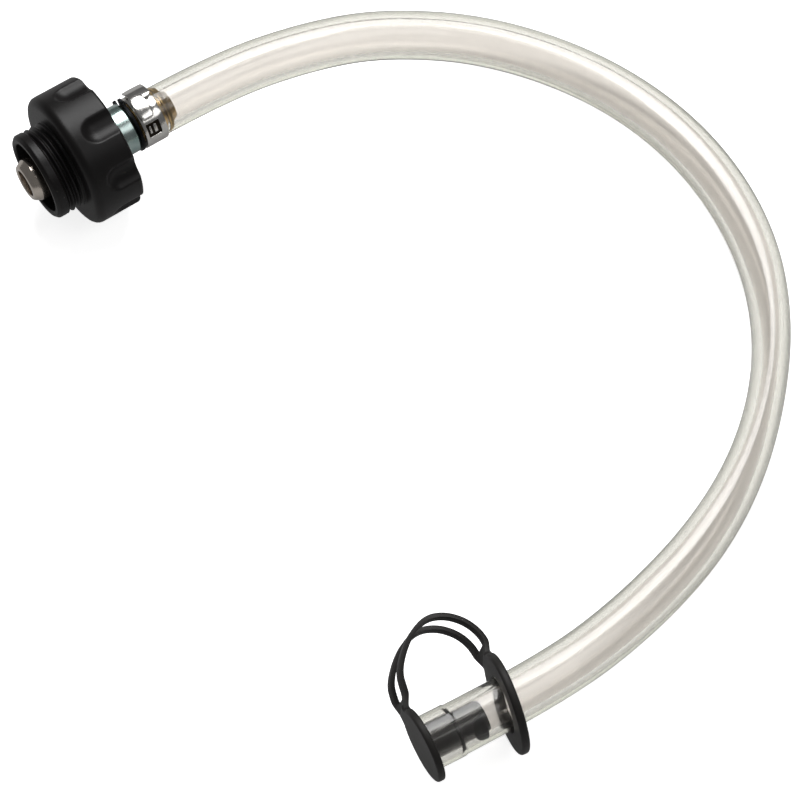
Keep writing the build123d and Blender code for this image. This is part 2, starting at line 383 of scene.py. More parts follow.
def moulded_polyamide(colour):
    """Glass-filled nylon 6, injection moulded in a spark-eroded tool: satin black with a fine even grain."""
    material, tree = new_material("moulded_polyamide")
    place = add_node(tree, "ShaderNodeTexCoord").outputs["Object"]
    # The tool's grain is about 0.1 mm and would not show, so it is drawn at 0.45 mm.
    grain = add_node(tree, "ShaderNodeTexNoise", {"Vector": place, "Scale": per(0.45), "Detail": 3.0})
    flow = add_node(tree, "ShaderNodeTexNoise", {"Vector": place, "Scale": per(9), "Detail": 2.0})
    tone = add_node(
        tree,
        "ShaderNodeMix",
        {0: flow.outputs["Fac"], 6: shade(colour, 0.75), 7: shade(colour, 1.3)},
        data_type="RGBA",
    )
    gloss = add_node(tree, "ShaderNodeMapRange", {"Value": grain.outputs["Fac"], "To Min": 0.32, "To Max": 0.46})
    relief = add_node(
        tree, "ShaderNodeBump", {"Height": grain.outputs["Fac"], "Strength": 0.35, "Distance": 0.06 * MM}
    )
    shader = add_node(
        tree,
        "ShaderNodeBsdfPrincipled",
        {
            "Base Color": tone.outputs[2],
            "Roughness": gloss.outputs["Result"],
            "IOR": 1.53,
            "Specular IOR Level": 0.22,
            "Normal": relief.outputs["Normal"],
        },
    )
    add_node(tree, "ShaderNodeOutputMaterial", {"Surface": shader.outputs["BSDF"]})
    return material


def turned_metal(name, colour, roughness, line_width, relief_height):
    """Turned and plated metal: a clean reflection, drawn out a little by the tool's rings along the axis."""
    material, tree = new_material(name)
    place = add_node(tree, "ShaderNodeTexCoord").outputs["Object"]
    axes = add_node(tree, "ShaderNodeSeparateXYZ", {"Vector": place})
    rings = add_node(
        tree, "ShaderNodeTexNoise", {"W": axes.outputs["X"], "Scale": per(line_width)}, noise_dimensions="1D"
    )
    cloud = add_node(tree, "ShaderNodeTexNoise", {"Vector": place, "Scale": per(3), "Detail": 2.0})
    tone = add_node(
        tree,
        "ShaderNodeMix",
        {0: cloud.outputs["Fac"], 6: shade(colour, 0.86), 7: shade(colour, 1.1)},
        data_type="RGBA",
    )
    gloss = add_node(
        tree,
        "ShaderNodeMapRange",
        {"Value": rings.outputs["Fac"], "To Min": roughness * 0.7, "To Max": roughness * 1.4},
    )
    relief = add_node(
        tree, "ShaderNodeBump", {"Height": rings.outputs["Fac"], "Strength": 0.5, "Distance": relief_height * MM}
    )
    shader = add_node(
        tree,
        "ShaderNodeBsdfPrincipled",
        {
            "Base Color": tone.outputs[2],
            "Metallic": 1.0,
            "Roughness": gloss.outputs["Result"],
            "Normal": relief.outputs["Normal"],
        },
    )
    add_node(tree, "ShaderNodeOutputMaterial", {"Surface": shader.outputs["BSDF"]})
    return material


def passivated_zinc(colour):
    """Zinc plate with a blue chromate: pearly, with patches that lean to teal and to warm white."""
    material, tree = new_material("passivated_zinc")
    place = add_node(tree, "ShaderNodeTexCoord").outputs["Object"]
    patches = add_node(tree, "ShaderNodeTexNoise", {"Vector": place, "Scale": per(5), "Detail": 3.0})
    spangle = add_node(tree, "ShaderNodeTexNoise", {"Vector": place, "Scale": per(0.5), "Detail": 2.0})
    tone = add_node(
        tree,
        "ShaderNodeMix",
        {0: patches.outputs["Fac"], 6: linear("#557F79"), 7: shade(colour, 1.0)},
        data_type="RGBA",
    )
    gloss = add_node(tree, "ShaderNodeMapRange", {"Value": spangle.outputs["Fac"], "To Min": 0.2, "To Max": 0.28})
    shader = add_node(
        tree,
        "ShaderNodeBsdfPrincipled",
        {"Base Color": tone.outputs[2], "Metallic": 1.0, "Roughness": gloss.outputs["Result"]},
    )
    add_node(tree, "ShaderNodeOutputMaterial", {"Surface": shader.outputs["BSDF"]})
    return material


def rubber(name, colour, grain_width, low, high):
    """Vulcanised rubber from a matt tool: deep black with a dull, slightly uneven sheen."""
    material, tree = new_material(name)
    place = add_node(tree, "ShaderNodeTexCoord").outputs["Object"]
    grain = add_node(tree, "ShaderNodeTexNoise", {"Vector": place, "Scale": per(grain_width), "Detail": 3.0})
    bloom = add_node(tree, "ShaderNodeTexNoise", {"Vector": place, "Scale": per(7), "Detail": 3.0})
    tone = add_node(
        tree,
        "ShaderNodeMix",
        {0: bloom.outputs["Fac"], 6: shade(colour, 0.7), 7: shade(colour, 1.45)},
        data_type="RGBA",
    )
    gloss = add_node(tree, "ShaderNodeMapRange", {"Value": bloom.outputs["Fac"], "To Min": low, "To Max": high})
    relief = add_node(
        tree, "ShaderNodeBump", {"Height": grain.outputs["Fac"], "Strength": 0.2, "Distance": 0.03 * MM}
    )
    shader = add_node(
        tree,
        "ShaderNodeBsdfPrincipled",
        {
            "Base Color": tone.outputs[2],
            "Roughness": gloss.outputs["Result"],
            "IOR": 1.52,
            "Specular IOR Level": 0.2,
            "Sheen Weight": 0.03,
            "Sheen Roughness": 0.5,
            "Normal": relief.outputs["Normal"],
        },
    )
    add_node(tree, "ShaderNodeOutputMaterial", {"Surface": shader.outputs["BSDF"]})
    return material


def clear_pvc(haze, tint, girth, length):
    """Plasticised PVC, extruded: clear with a little haze, drawn into faint streaks along the hose."""
    material, tree = new_material("clear_pvc")
    place = add_node(tree, "ShaderNodeUVMap", uv_map="along").outputs["UV"]
    # Die lines, about 2 mm apart round the hose and 70 mm long.
    drawn = add_node(tree, "ShaderNodeMapping", {"Vector": place, "Scale": (girth / 2, length / 70, 1)})
    streaks = add_node(tree, "ShaderNodeTexNoise", {"Vector": drawn.outputs["Vector"], "Scale": 1.0, "Detail": 3.0})
    gloss = add_node(tree, "ShaderNodeMapRange", {"Value": streaks.outputs["Fac"], "To Min": 0.02, "To Max": 0.22})
    relief = add_node(
        tree, "ShaderNodeBump", {"Height": streaks.outputs["Fac"], "Strength": 0.25, "Distance": 0.15 * MM}
    )
    shader = add_node(
        tree,
        "ShaderNodeBsdfPrincipled",
        {
            "Base Color": haze,
            "Roughness": gloss.outputs["Result"],
            "IOR": 1.3,
            "Transmission Weight": 0.98,
            "Coat Weight": 0.5,
            "Coat Roughness": 0.18,
            "Normal": relief.outputs["Normal"],
        },
    )
    depth = add_node(tree, "ShaderNodeVolumeAbsorption", {"Color": tint, "Density": 180.0})
    add_node(
        tree,
        "ShaderNodeOutputMaterial",
        {"Surface": shader.outputs["BSDF"], "Volume": depth.outputs["Volume"]},
    )
    return material


def acetal():
    """Natural acetal, machined: waxy off-white."""
    material, tree = new_material("machined_acetal")
    place = add_node(tree, "ShaderNodeTexCoord").outputs["Object"]
    cloud = add_node(tree, "ShaderNodeTexNoise", {"Vector": place, "Scale": per(1.5), "Detail": 2.0})
    tone = add_node(
        tree,
        "ShaderNodeMix",
        {0: cloud.outputs["Fac"], 6: linear("#DDDAD0"), 7: linear("#EFEDE6")},
        data_type="RGBA",
    )
    shader = add_node(
        tree,
        "ShaderNodeBsdfPrincipled",
        {"Base Color": tone.outputs[2], "Roughness": 0.42, "IOR": 1.48, "Subsurface Weight": 0.1},
    )
    add_node(tree, "ShaderNodeOutputMaterial", {"Surface": shader.outputs["BSDF"]})
    return material


def opal_acrylic(colour, glow, dimmed):
    """Opal acrylic table, lit from below: matt, even and pale, with faint shadows."""
    material, tree = new_material("opal_acrylic")
    place = add_node(tree, "ShaderNodeTexCoord").outputs["Object"]
    cloud = add_node(tree, "ShaderNodeTexNoise", {"Vector": place, "Scale": per(120), "Detail": 2.0})
    tone = add_node(
        tree,
        "ShaderNodeMix",
        {0: cloud.outputs["Fac"], 6: shade(colour, 0.99), 7: colour},
        data_type="RGBA",
    )
    # Surfaces mirror a dimmer table, as they do with black cards laid out of the camera's sight.
    path = add_node(tree, "ShaderNodeLightPath").outputs
    mirrored = add_node(
        tree,
        "ShaderNodeMath",
        {0: path["Is Glossy Ray"], 1: path["Is Transmission Ray"]},
        operation="SUBTRACT",
        use_clamp=True,
    )
    seen = add_node(
        tree,
        "ShaderNodeMix",
        {0: mirrored.outputs[0], 6: tone.outputs[2], 7: shade(colour, dimmed)},
        data_type="RGBA",
    )
    light = add_node(
        tree, "ShaderNodeMapRange", {"Value": mirrored.outputs[0], "To Min": glow, "To Max": glow * dimmed}
    )
    shader = add_node(
        tree,
        "ShaderNodeBsdfPrincipled",
        {
            "Base Color": seen.outputs[2],
            "Roughness": 0.85,
            "Specular IOR Level": 0.2,
            "Emission Color": colour,
            "Emission Strength": light.outputs["Result"],
        },
    )
    add_node(tree, "ShaderNodeOutputMaterial", {"Surface": shader.outputs["BSDF"]})
    return material


# ---------------------------------------------------------------- stage


def softbox(name, place, aim, size, power):
    """A square area light that looks at a point."""
    lamp = bpy.data.lights.new(name, "AREA")
    lamp.shape = "SQUARE"
    lamp.size = size
    lamp.energy = power
    light = bpy.data.objects.new(name, lamp)
    light.location = place
    light.rotation_euler = (Vector(place) - aim).to_track_quat("Z", "Y").to_euler()
    bpy.context.collection.objects.link(light)


class HOSE_OT_stage(bpy.types.Operator):
    """Make the floor, the lights and the camera"""

    bl_idname = "transfer_hose.stage"
    bl_label = "Stage"

    def execute(self, context):
        settings = context.scene.hose_stage
        middle = (CAD_BOX[0] + CAD_BOX[1]) / 2
        middle.z = 0

        bm = bmesh.new()
        bmesh.ops.create_grid(bm, x_segments=1, y_segments=1, size=3000)
        bmesh.ops.translate(bm, vec=middle / MM, verts=bm.verts)
        bmesh.ops.transform(bm, matrix=Matrix.Scale(MM, 4), verts=bm.verts)
        mesh = bpy.data.meshes.new("floor")
        bm.to_mesh(mesh)
        bm.free()
        # Share of its light that the floor keeps where a glossy face mirrors it.
        dimmed = 0.22
        mesh.materials.append(opal_acrylic(settings.floor_colour, settings.table, dimmed))
        floor = bpy.data.objects.new("floor", mesh)
        context.collection.objects.link(floor)

        # The key stands where upward faces send it to the camera.
        softbox("key_softbox", middle + Vector((0.33, 0.5, 1.0)), middle, 0.75, settings.key_power)
        front_share = 0.12
        softbox("front_softbox", middle + Vector((0.36, -0.5, 0.95)), middle, 0.55, settings.key_power * front_share)

        world = bpy.data.worlds.new("studio")
        world.use_nodes = True
        sky = world.node_tree.nodes["Background"]
        sky.inputs["Color"].default_value = (1, 1, 1, 1)
        sky.inputs["Strength"].default_value = settings.sky
        context.scene.world = world
        context.scene.view_settings.view_transform = "Standard"

        aim = Vector((0.0376, -0.1348, 0))
        turn = Matrix.Rotation(settings.heading, 4, "Z") @ Matrix.Rotation(math.pi / 2 - settings.elevation, 4, "X")
        camera = bpy.data.objects.new("camera", bpy.data.cameras.new("camera"))
        camera.data.sensor_width = 36
        camera.data.lens = settings.lens
        camera.matrix_world = Matrix.Translation(aim) @ turn @ Matrix.Translation((0, 0, settings.distance))
        context.collection.objects.link(camera)
        context.scene.camera = camera
        return {"FINISHED"}


# ---------------------------------------------------------------- plug, ring and strap


def tabbed_radius(radius, angle, half_width, reach, blend):
    """Distance to the rim of a disc with a square tab, in the direction of an angle from the tab."""
    if math.cos(angle) <= 0:
        return radius
    tab = reach / math.cos(angle)
    if tab * abs(math.sin(angle)) > half_width:
        tab = half_width / abs(math.sin(angle))
    return -smooth_least(-radius, -tab, blend)


def add_tab(bm, radius, half_width, reach, inner, blend):
    """Grow a tab on a turned disc, on the side of local +Y, by moving what lies outside the inner radius."""
    for vert in bm.verts:
        x, y, z = vert.co
        distance = math.hypot(y, z)
        if distance > inner:
            rim = tabbed_radius(radius, math.atan2(z, y), half_width, reach, blend)
            share = (distance - inner) / (radius - inner)
            target = inner + (rim - inner) * share
            vert.co = (x, y * target / distance, z * target / distance)


class HOSE_OT_plug(bpy.types.Operator):
    """Make the rubber plug with its disc"""

    bl_idname = "transfer_hose.plug"
    bl_label = "Plug"

    def execute(self, context):
        settings = context.scene.hose_plug
        radius = in_mm(settings.disc_radius)
        face, back = -2.6, -0.1
        body_radius, thin_radius, tip_radius = 5.94, 5.55, 4.9
        step, depth = 9.4, 20.0
        tab_reach = 13.4
        disc = [
            (face, 0, 0),
            (face, radius, 0.8),
            (back, radius, 0.5),
            (back, body_radius, 0.2),
            (0.6, body_radius, 0),
            (0.6, 0, 0),
        ]
        bm = turned(disc, steps=160, spacing=0.9)
        add_tab(bm, radius, in_mm(settings.tab_width) / 2, tab_reach, inner=6.5, blend=3.0)
        body = [
            (0.3, 0, 0),
            (0.3, body_radius, 0.1),
            (step, body_radius, 0.15),
            (step + 0.5, thin_radius, 0.15),
            (depth - 1.6, thin_radius, 1.2),
            (depth, tip_radius, 0.6),
            (depth, 0, 0),
        ]
        turned(body, steps=96, spacing=1.5, bm=bm)
        material = rubber("moulded_epdm", settings.rubber_colour, 0.6, 0.42, 0.6)
        plug = make_piece(bm, "end_plug_rubber", PLUG_END, material)
        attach(plug, "plug")
        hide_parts("end_plug")
        return {"FINISHED"}


class HOSE_OT_ring(bpy.types.Operator):
    """Make the rubber ring that holds the strap on the hose"""

    bl_idname = "transfer_hose.ring"
    bl_label = "Ring"

    def execute(self, context):
        settings = context.scene.hose_plug
        radius = in_mm(settings.ring_radius)
        half, hole = 1.4, 9.5
        place, lean_angle, tab_reach = 28.6, -7, 16.0
        outline = [
            (-half, hole, 0.3),
            (-half, radius, 0.9),
            (half, radius, 0.9),
            (half, hole, 0.3),
        ]
        bm = turned(outline, steps=160, spacing=0.9)
        add_tab(bm, radius, in_mm(settings.tab_width) / 2, tab_reach, inner=10.2, blend=4.0)
        lean = Matrix.Translation((place * MM, 0, 0)) @ Matrix.Rotation(math.radians(lean_angle), 4, "Z")
        material = bpy.data.materials["moulded_epdm"]
        ring = make_piece(bm, "retaining_ring_rubber", PLUG_END @ lean, material)
        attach(ring, "retainer")
        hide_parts("retaining_ring")
        return {"FINISHED"}


class HOSE_OT_strap(bpy.types.Operator):
    """Make the slotted strap, moulded flat and bent into its arch"""

    bl_idname = "transfer_hose.strap"
    bl_label = "Strap"

    def execute(self, context):
        settings = context.scene.hose_plug
        # The arch's control points in the plug's frame, in millimetres.
        arch = [
            (-1.5, 12.1, 0.6),
            (-0.5, 18.5, 1.3),
            (0.8, 23.7, 2.0),
            (5.6, 29.7, 1.6),
            (11.1, 34.3, 0.9),
            (17.6, 36.8, 0.0),
            (23.6, 35.2, -0.8),
            (28.3, 31.0, -1.6),
            (30.7, 26.0, -2.0),
            (31.0, 20.5, -1.2),
            (30.4, 15.6, -0.5),
        ]
        line = Line(spline_points(arch, "strap_line"))
        half_width = in_mm(settings.tab_width) / 2
        half_slot = in_mm(settings.slot_width) / 2
        thickness = in_mm(settings.strap_thickness)
        slot_from, slot_to = 3.6, line.length - 4.8
        end_lean, middle_lean, held_reach = 5, 26, 6

        # A flat strip along x, with the slot cut out and every rim rounded.
        rows = round(line.length / 0.8)
        bm = bmesh.new()
        bmesh.ops.create_grid(bm, x_segments=rows, y_segments=2, size=0.5)
        for vert in bm.verts:
            vert.co = ((vert.co.x + 0.5) * line.length, vert.co.y * 2 * half_width, 0)
        rims = [((x, 0, 0), (1, 0, 0)) for x in (slot_from, slot_to)]
        rims += [((0, y, 0), (0, 1, 0)) for y in (-half_slot, half_slot)]
        for place, normal in rims:
            sheet = bm.verts[:] + bm.edges[:] + bm.faces[:]
            bmesh.ops.bisect_plane(bm, geom=sheet, plane_co=place, plane_no=normal)
        cut = [
            f
            for f in bm.faces
            if slot_from < f.calc_center_median().x < slot_to and abs(f.calc_center_median().y) < half_slot
        ]
        bmesh.ops.delete(bm, geom=cut, context="FACES")
        thicken(bm, thickness)
        bmesh.ops.translate(bm, vec=(0, 0, -sum(v.co.z for v in bm.verts) / len(bm.verts)), verts=bm.verts)
        ends = [
            e
            for e in bm.edges
            if abs(e.verts[0].co.z - e.verts[1].co.z) > thickness / 2
            and abs(abs(e.verts[0].co.y) - half_slot) < 0.01
            and min(abs(e.verts[0].co.x - slot_from), abs(e.verts[0].co.x - slot_to)) < 0.01
        ]
        bmesh.ops.bevel(
            bm, geom=ends, offset=half_slot * 0.85, segments=5, profile=0.5, affect="EDGES", material=-1
        )
        soften(bm, 0.5, sharpest=math.radians(50), segments=3)

        # Bend the strip: x runs along the arch, y becomes its height and z its thickness.
        for vert in bm.verts:
            point, direction = line.at(vert.co.x)
            held = smooth_step(vert.co.x, 0, held_reach) * smooth_step(line.length - vert.co.x, 0, held_reach)
            lean = math.radians(end_lean + (middle_lean - end_lean) * held)
            outward = direction.cross(Vector((-math.sin(lean), 0, -math.cos(lean)))).normalized()
            level = outward.cross(direction)
            vert.co = point + outward * vert.co.z + level * vert.co.y
        bmesh.ops.recalc_face_normals(bm, faces=bm.faces)
        material = bpy.data.materials["moulded_epdm"]
        strap = make_piece(bm, "plug_strap_rubber", PLUG_END, material, smooth_angle=60)
        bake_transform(strap)
        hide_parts("plug_strap")
        return {"FINISHED"}


# ---------------------------------------------------------------- hose


class HOSE_OT_hose(bpy.types.Operator):
    """Make the clear hose along its route"""

    bl_idname = "transfer_hose.hose"
    bl_label = "Hose"

    def execute(self, context):
        settings = context.scene.hose_tube
        radius, wall = settings.radius, settings.wall
        rest = radius + 0.05 * MM
        exit_place = Vector((CLAMP_LOW.x, 0, FITTING_AXIS.z))
        route = [
            exit_place,
            Vector((0.050, 0, FITTING_AXIS.z)),
            Vector((0.085, -0.006, 0.024)),
            Vector((0.1145, -0.0145, 0.0195)),
            Vector((0.148, -0.036, 0.013)),
            Vector((0.173, -0.072, rest)),
            Vector((0.182, -0.114, rest)),
            Vector((0.176, -0.156, rest)),
            Vector((0.157, -0.192, rest)),
            Vector((0.127, -0.2215, rest)),
            Vector((0.093, -0.2405, rest)),
            Vector((0.052, -0.2515, 0.0125)),
            HOSE_END - HEADING * 0.0426,
            HOSE_END,
        ]
        line = Line(spline_points(route, "hose_line"))
        last = line.length
        ring_gap, fine_gap, fine_reach = 1.6 * MM, 0.4 * MM, 16 * MM
        marks = [0.0]
        while marks[-1] < last:
            near_end = min(marks[-1], last - marks[-1]) < fine_reach
            marks.append(min(marks[-1] + (fine_gap if near_end else ring_gap), last))

        draw_down, draw_start, draw_end = 0.3 * MM, last - 130 * MM, last - 50 * MM
        swell_start, swell_end = last - 10.0 * MM, last - 9.2 * MM
        around = 72
        bm = bmesh.new()
        bm.loops.layers.uv.new("along")
        bmesh.ops.create_grid(
            bm, x_segments=around, y_segments=len(marks) - 1, size=0.5, calc_uvs=True
        )
        for vert in bm.verts:
            turn = (vert.co.x + 0.5) * math.tau
            mark = marks[round((vert.co.y + 0.5) * (len(marks) - 1))]
            place, direction = line.at(mark)
            side = direction.cross(UP).normalized()
            over = side.cross(direction)
            bent = math.exp(-(((mark - settings.flat_place) / settings.flat_reach) ** 2))
            # The hose is drawn down towards its end, and the plug's thick half swells it again.
            draw = draw_down * smooth_step(mark, draw_start, draw_end)
            swell = settings.swell * smooth_step(mark, swell_start, swell_end) - draw
            half_width = radius * (1 - settings.narrowing * bent) + swell
            half_height = radius * (1 + settings.heightening * bent) + swell
            lift = half_height - radius - swell
            vert.co = place + UP * lift - side * half_width * math.sin(turn) - over * half_height * math.cos(turn)
        bmesh.ops.remove_doubles(bm, verts=bm.verts, dist=0.01 * MM)
        thicken(bm, wall)
        bmesh.ops.transform(bm, matrix=Matrix.Scale(1 / MM, 4), verts=bm.verts)
        material = clear_pvc(
            settings.pvc_colour, settings.pvc_tint, in_mm(math.tau * radius), in_mm(line.length)
        )
        hose = make_piece(bm, "hose_clear", Matrix.Identity(4), material)
        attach(hose, "hose_assembly")
        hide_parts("hose")
        return {"FINISHED"}


# ---------------------------------------------------------------- knob and spigot


class HOSE_OT_knob(bpy.types.Operator):
    """Make the hand knob with its scoops and threaded spigot"""

    bl_idname = "transfer_hose.knob"
    bl_label = "Hand knob"

    def execute(self, context):
        settings = context.scene.hose_fitting
        front, rear = station(KNOB_LOW.x), station(KNOB_HIGH.x)
        radius = in_mm(KNOB_HIGH.z - KNOB_LOW.z) / 2
        crest, bore, recess, stem = 16.6, 13.4, 10.2, 8.06
        shoulder, web_front, web_rear = 15.0, 19.0, 31.0
        outline = [
            (front, bore + 0.5, 0.25),
            (front, crest - 1.3, 0.4),
            (front + 1.1, crest - 0.2, 0.8, 0.2),
            (shoulder, crest - 0.2, 0.3),
            (shoulder, radius, 2.9, 0.5),
            (rear, radius, 1.3, 0.8),
            (rear, recess, 0.4),
            (web_rear, recess, 0.3),
            (web_rear, stem, 0.15),
            (web_front, stem, 0.15),
            (web_front, bore, 1.8),
            (front + 0.5, bore, 0.2),
        ]
        bm = turned(outline, steps=360, spacing=2.0)
        self.cut_thread(bm, settings, crest - 0.2, front + 3.4, shoulder - 0.5)
        self.cut_scoops(bm, settings, radius)
        material = moulded_polyamide(settings.knob_colour)
        knob = make_piece(bm, "hand_knob_moulding", FITTING, material, smooth_angle=60)
        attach(knob, "hand_knob")
        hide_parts("hand_knob")
        return {"FINISHED"}

    def cut_thread(self, bm, settings, crest, start, end):
        """Sink the roots of a right-hand thread into the spigot's outside."""
        pitch, depth = in_mm(settings.thread_pitch), in_mm(settings.thread_depth)
        run = pitch * 0.6
        for vert in bm.verts:
            x, y, z = vert.co
            distance = math.hypot(y, z)
            if start < x < end and crest - 0.1 < distance < crest + 0.1:
                turns = x / pitch - math.atan2(z, y) / math.tau
                root = 0.5 - 0.5 * math.cos(turns * math.tau)
                fade = smooth_step(x, start, start + run) * (1 - smooth_step(x, end - run, end))
                share = (distance - depth * root * fade) / distance
                vert.co = (x, y * share, z * share)

    def cut_scoops(self, bm, settings, radius):
        """Press the finger scoops into the rim: round-ended grooves that run out at the knob's back."""
        scoop, depth = in_mm(settings.scoop_radius), in_mm(settings.scoop_depth)
        edge = in_mm(settings.scoop_edge)
        count, start = 8, 21.3
        centre = radius - depth + scoop
        ball = start + math.sqrt(scoop**2 - (scoop - depth) ** 2)
        spacing = math.tau / count
        for vert in bm.verts:
            x, y, z = vert.co
            distance = math.hypot(y, z)
            if x < start - edge or distance < radius / 2:
                continue
            angle = math.atan2(z, y) % spacing - spacing / 2
            reach = scoop**2 - max(ball - x, 0) ** 2 - (centre * math.sin(angle)) ** 2
            floor = centre * math.cos(angle) - math.sqrt(max(reach, 0))
            share = smooth_least(distance, floor, edge) / distance
            vert.co = (x, y * share, z * share)


# ---------------------------------------------------------------- metal parts of the fitting


class HOSE_OT_nipple(bpy.types.Operator):
    """Make the nipple with its hexagon, and finish its seals and washers"""

    bl_idname = "transfer_hose.nipple"
    bl_label = "Nipple and seals"

    def execute(self, context):
        settings = context.scene.hose_fitting
        outer, tip, bore, shank = 8.0, 6.5, 5.0, 6.02
        rear = station(NIPPLE_HIGH.x)
        groove = 9.4
        outline = [
            (0, bore, 0.5),
            (0, tip, 0.9),
            (2.6, outer, 1.6),
            (groove, outer, 0.15),
            (groove, 7.1, 0.1),
            (groove + 1.9, 7.1, 0.1),
            (groove + 1.9, outer, 0.15),
            (rear, outer, 0.1),
            (rear, 7.6, 0.1),
            (rear - 1.4, 7.6, 0.1),
            (rear - 1.4, shank, 0.1),
            (10.0, shank, 0.1),
            (10.0, bore, 0.1),
        ]
        bm = turned(outline, steps=128)
        hexagon = [(rear - 3, 7.8, 0), (rear - 3, 11.0, 0), (rear, 11.0, 0), (rear, 7.8, 0)]
        flange = turned(hexagon, steps=6)
        soften(flange, 0.35, sharpest=math.radians(40))
        whole = bpy.data.meshes.new("flange")
        flange.to_mesh(whole)
        flange.free()
        bm.from_mesh(whole)
        bpy.data.meshes.remove(whole)
        material = turned_metal("bright_nickel", settings.nickel_colour, 0.18, 0.4, 0.01)
        nipple = make_piece(bm, "nipple_plated", FITTING, material)
        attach(nipple, "hose_assembly")
        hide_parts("nipple")

        seal = rubber("nitrile_seal", linear("#101010"), 0.6, 0.3, 0.4)
        plastic = acetal()
        finishes = {
            "nipple_o_ring": seal,
            "joint_o_ring": seal,
            "stem_o_ring": seal,
            "front_slip_washer": plastic,
            "rear_slip_washer": plastic,
        }
        for name, finish in finishes.items():
            slots = frame["nodes"][name].data.materials
            slots.clear()
            slots.append(finish)
        return {"FINISHED"}


class HOSE_OT_tail(bpy.types.Operator):
    """Make the barbed brass tail"""

    bl_idname = "transfer_hose.tail"
    bl_label = "Hose tail"

    def execute(self, context):
        settings = context.scene.hose_fitting
        stem, bore, shank, root, barb = 8.0, 4.0, 5.98, 5.9, 6.6
        end = station(TAIL_HIGH.x)
        clip_front = station(CLIP_LOW.x)
        hose_start = station(CLAMP_LOW.x)
        outline = [
            (10.2, bore, 0.1),
            (10.2, shank, 0.5),
            (18.02, shank, 0.1),
            (18.02, stem, 0.15),
            (24.0, stem, 0.1),
            (24.0, 6.0, 0.1),
            (26.4, 6.0, 0.1),
            (26.4, stem, 0.1),
            (clip_front - 0.05, stem, 0.1),
            (clip_front - 0.05, 7.3, 0.05),
            (hose_start - 0.02, 7.3, 0.1),
            (hose_start - 0.02, root, 0.1),
        ]
        barbs, pitch = 3, 4.0
        for i in range(barbs):
            start = end - (barbs - i) * pitch
            outline += [(start, root, 0.1), (start, barb, 0.15), (start + 0.6, barb, 0.2)]
        outline += [(end, 5.0, 0.2), (end, bore, 0.2)]
        bm = turned(outline, steps=128)
        material = turned_metal("turned_brass", settings.brass_colour, 0.38, 0.35, 0.01)
        tail = make_piece(bm, "hose_tail_brass", FITTING, material)
        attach(tail, "hose_assembly")
        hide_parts("hose_tail")
        return {"FINISHED"}


class HOSE_OT_collar(bpy.types.Operator):
    """Make the zinc collar and the black spring clip behind it"""

    bl_idname = "transfer_hose.collar"
    bl_label = "Collar and clip"

    def execute(self, context):
        settings = context.scene.hose_fitting
        front, rear = station(COLLAR_LOW.x), station(COLLAR_HIGH.x)
        radius = in_mm(COLLAR_HIGH.z - COLLAR_LOW.z) / 2
        bore = 8.02
        outline = [
            (front, bore, 0.1),
            (front, radius, 0.4),
            (rear - 0.9, radius, 0.3),
            (rear, radius - 0.45, 0.3),
            (rear, bore, 0.1),
        ]
        bm = turned(outline, steps=128)
        collar = make_piece(bm, "collar_zinc", FITTING, passivated_zinc(settings.zinc_colour))
        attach(collar, "hose_assembly")
        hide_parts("collar")

        bm = bmesh.new()
        bm.from_mesh(frame["nodes"]["retaining_clip"].data)
        bmesh.ops.remove_doubles(bm, verts=bm.verts, dist=0.002 * MM)
        bmesh.ops.dissolve_limit(bm, angle_limit=math.radians(1), verts=bm.verts, edges=bm.edges)
        bmesh.ops.transform(bm, matrix=Matrix.Scale(1 / MM, 4), verts=bm.verts)
        soften(bm, 0.12, sharpest=math.radians(60))
        # Near-black phosphated steel. Its black band also serves as painted shade for the gap between the collar and
        # the clamp.
        material = turned_metal("phosphated_steel_and_gap_shade", linear("#1B1C1E"), 0.42, 0.5, 0.01)
        clip = make_piece(bm, "retaining_clip_steel", Matrix.Identity(4), material)
        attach(clip, "hose_assembly")
        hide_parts("retaining_clip")
        return {"FINISHED"}


def wrap(bm, radius):
    """Wrap a flat sheet round the fitting's axis: x stays a station, y is an angle and z is over a radius."""
    for vert in bm.verts:
        x, angle, over = vert.co
        vert.co = (x, (radius + over) * math.cos(angle), (radius + over) * math.sin(angle))


